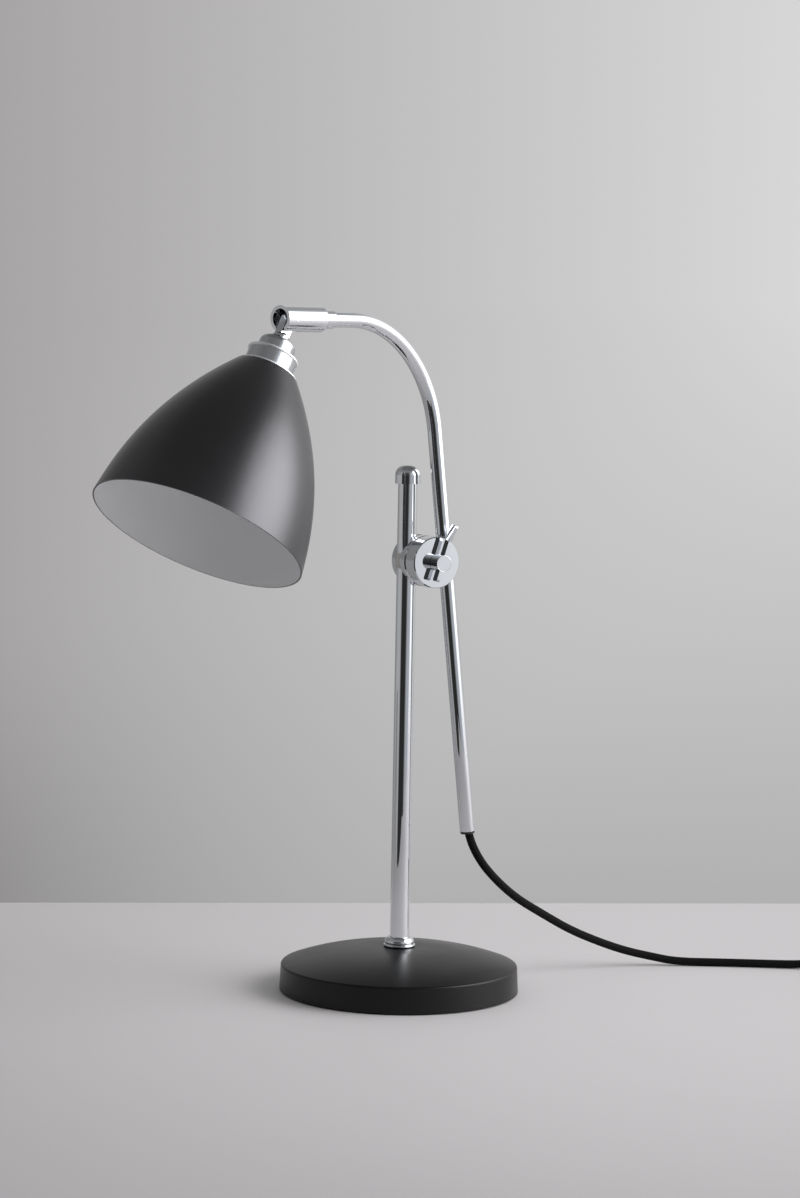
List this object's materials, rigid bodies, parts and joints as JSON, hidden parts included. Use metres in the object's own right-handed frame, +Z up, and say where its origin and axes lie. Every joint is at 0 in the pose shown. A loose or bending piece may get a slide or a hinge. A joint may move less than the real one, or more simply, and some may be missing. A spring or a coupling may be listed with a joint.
{
  "type": "task lamp",
  "caption": "Desk lamp with a weighted round base, an upright post, a lever clamp carrying a bent arm, and a bullet shade on a swivelling, tilting head.",
  "frame": {"origin": "centre of the base pad's underside, on the table under the post", "axes": "+Z up along the post, -Y out of the clamp's lever face, -X towards the shade's side"},
  "size_m": [0.7762, 0.2564, 0.4553],
  "materials": {
    "base_paint": "satin",
    "shade_paint": "satin",
    "chrome": "polished",
    "iron": "rough",
    "foam": "matte",
    "steel": "plain",
    "acetal": "matte",
    "phenolic": "satin",
    "soft_grip": "matte",
    "brass": "plain",
    "lamp_cap": "plain",
    "opal": "opal",
    "braid": "braided"
  },
  "bodies": {
    "base": {"base_cover": "base_paint", "base_weight": "iron", "base_pad": "foam", "post_tube": "chrome", "post_stud": "steel", "stud_washer": "steel", "stud_nut": "steel", "post_collar": "chrome", "post_cap": "chrome", "cord_drop": "braid", "relief_in": "soft_grip", "relief_out": "soft_grip", "cord_link": "braid", "switch_base": "phenolic", "switch_cover": "phenolic", "switch_screw_front": "steel", "switch_screw_rear": "steel", "cord_coil": "braid", "cord_tie": "soft_grip", "cord_tail": "braid", "plug_relief": "soft_grip", "plug_body": "phenolic", "plug_pin_left": "brass", "plug_pin_right": "brass"},
    "carriage": {"post_bush": "acetal"},
    "clamp": {"clamp_rear_jaw": "chrome", "clamp_centre_block": "chrome", "friction_disc": "phenolic", "clamp_stud": "steel"},
    "lever": {"lever_nut": "chrome"},
    "front_jaw": {"clamp_front_jaw": "chrome", "arm_bush": "acetal"},
    "arm_slider": {"arm_ferrule": "phenolic"},
    "arm": {"arm_tube": "chrome", "inner_flex": "braid", "arm_nipple": "chrome", "nipple_ring": "steel"},
    "barrel": {"swivel_barrel": "chrome", "head_pin": "steel"},
    "head": {"head_knuckle": "chrome", "holder_cap": "chrome", "neck_nut": "steel", "holder_bead": "chrome", "holder_skirt": "chrome", "shade": "shade_paint", "lampholder_body": "phenolic", "shade_ring": "phenolic", "socket_shell": "brass", "centre_contact": "brass", "bulb_cap": "lamp_cap", "bulb_glass": "opal"},
    "rocker": {"switch_rocker": "phenolic"}
  },
  "joints": [
    {"name": "height_slide", "type": "slide", "parent": "base", "child": "carriage", "axis": [0, 0, 1], "range_m": [-0.02, 0.032], "deforming": ["cord_drop"]},
    {"name": "post_swing", "type": "hinge", "parent": "carriage", "child": "clamp", "pos_m": [0, 0, 0.289], "axis": [0, 0, 1], "range_deg": [-90, 90], "deforming": ["cord_drop"]},
    {"name": "lever_turn", "type": "hinge", "parent": "clamp", "child": "lever", "pos_m": [0.0103, -0.01635, 0.289], "axis": [0, -1, 0], "range_deg": [-90, 90]},
    {"name": "arm_tilt", "type": "hinge", "parent": "clamp", "child": "front_jaw", "pos_m": [0.0103, -0.01635, 0.289], "axis": [0, -1, 0], "range_deg": [-25, 40], "deforming": ["cord_drop"]},
    {"name": "arm_slide", "type": "slide", "parent": "front_jaw", "child": "arm_slider", "axis": [-0.1142, 0, 0.9935], "range_m": [-0.015, 0.09], "deforming": ["cord_drop"]},
    {"name": "arm_roll", "type": "hinge", "parent": "arm_slider", "child": "arm", "pos_m": [0.04133, -0.01635, 0.108], "axis": [-0.1142, 0, 0.9935], "range_deg": [-60, 60]},
    {"name": "head_swivel", "type": "hinge", "parent": "arm", "child": "barrel", "pos_m": [-0.12096, -0.06245, 0.447], "axis": [-0.9367, -0.3502, 0], "range_deg": [-110, 110]},
    {"name": "head_tilt", "type": "hinge", "parent": "barrel", "child": "head", "pos_m": [-0.12096, -0.06245, 0.447], "axis": [-0.3502, 0.9367, 0], "range_deg": [-40, 50]},
    {"name": "switch_rock", "type": "hinge", "parent": "base", "child": "rocker", "pos_m": [0.3728, -0.10715, 0.0125], "axis": [0.5886, 0.8084, 0], "range_deg": [0, 16]}
  ]
}
